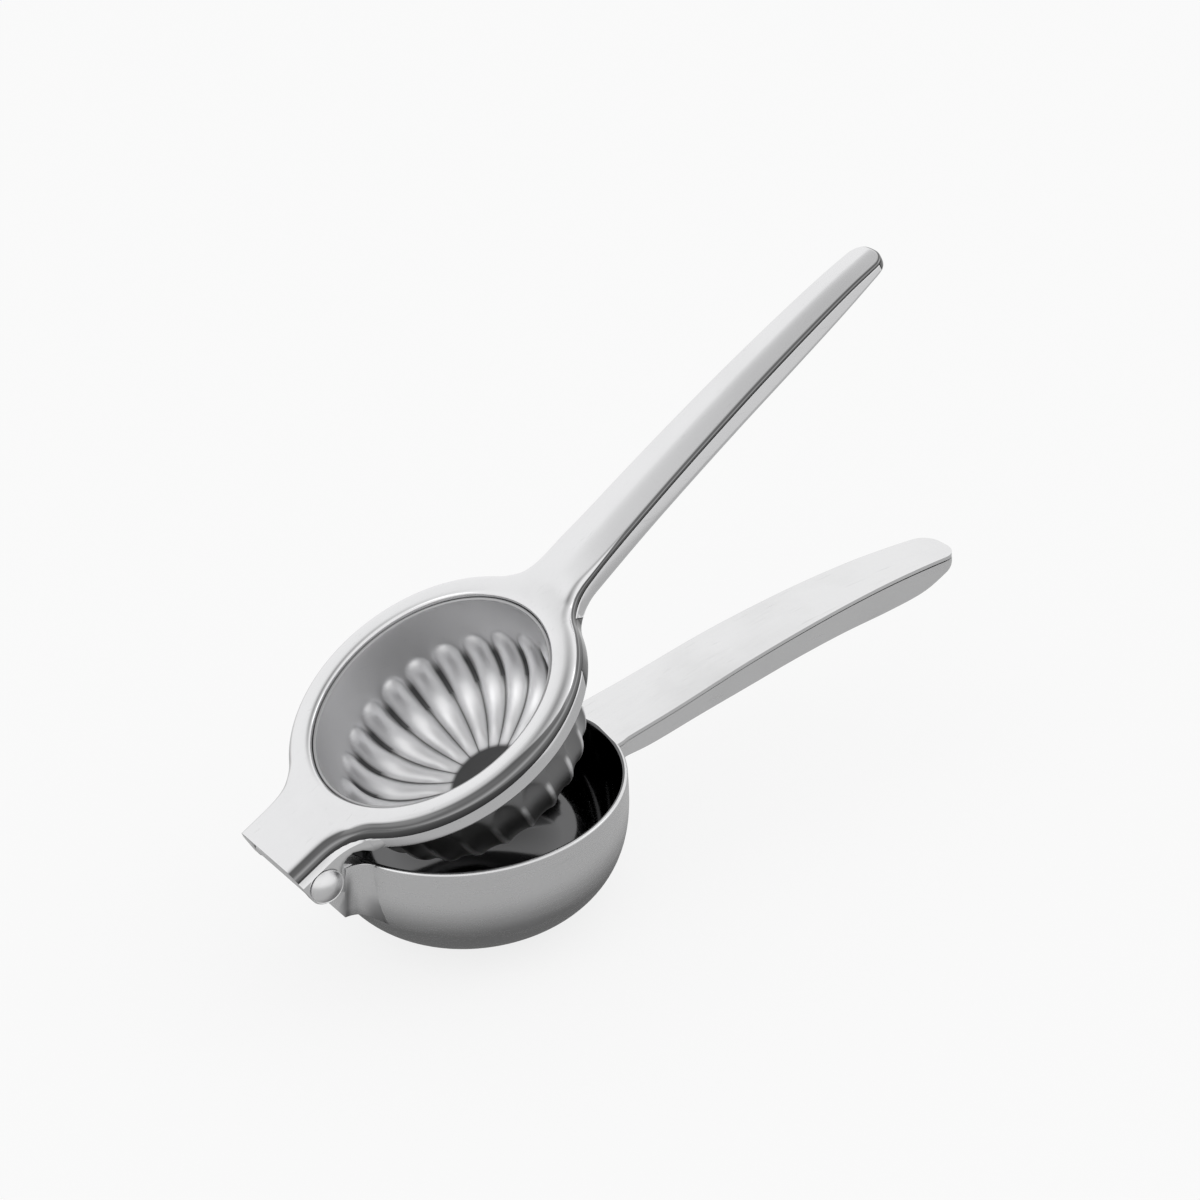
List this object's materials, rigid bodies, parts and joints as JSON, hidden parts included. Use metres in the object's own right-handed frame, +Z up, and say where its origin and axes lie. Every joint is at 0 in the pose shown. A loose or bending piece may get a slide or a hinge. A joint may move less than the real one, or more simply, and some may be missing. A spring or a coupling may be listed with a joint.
{
  "type": "lemon squeezer",
  "caption": "Hand-held stainless lemon squeezer: a perforated bowl on one lever, and a fluted press cup in a ring on the other, hinged on a domed rivet.",
  "frame": {"origin": "centre of the bowl's flat base, on the bowl axis", "axes": "+Z up along the bowl axis, square to the rim; +X from the hinge towards the handle tips; the hinge axis lies along Y"},
  "size_m": [0.224, 0.0834, 0.1437],
  "materials": {
    "polished_steel": "mirror polished",
    "cup_steel": "pressed and polished, a little duller than the ring",
    "rivet_steel": "polished",
    "bowl_steel": "satin outside, polished inside",
    "bowl_handle_steel": "satin polished"
  },
  "bodies": {
    "bowl_lever": {"strainer_bowl": "bowl_steel", "hinge_tongue": "bowl_steel", "bowl_handle_trough": "bowl_handle_steel", "bowl_handle_cover": "bowl_handle_steel"},
    "press_lever": {"press_frame": "polished_steel", "press_underframe": "polished_steel", "near_ear": "polished_steel", "far_ear": "polished_steel", "press_cup": "cup_steel", "rivet_barrel": "rivet_steel", "rivet_post": "rivet_steel"}
  },
  "joints": [
    {"name": "lever_hinge", "type": "hinge", "parent": "bowl_lever", "child": "press_lever", "pos_m": [-0.052, 0, 0.0368], "axis": [0, -1, 0], "range_deg": [-24.2, 95]}
  ]
}
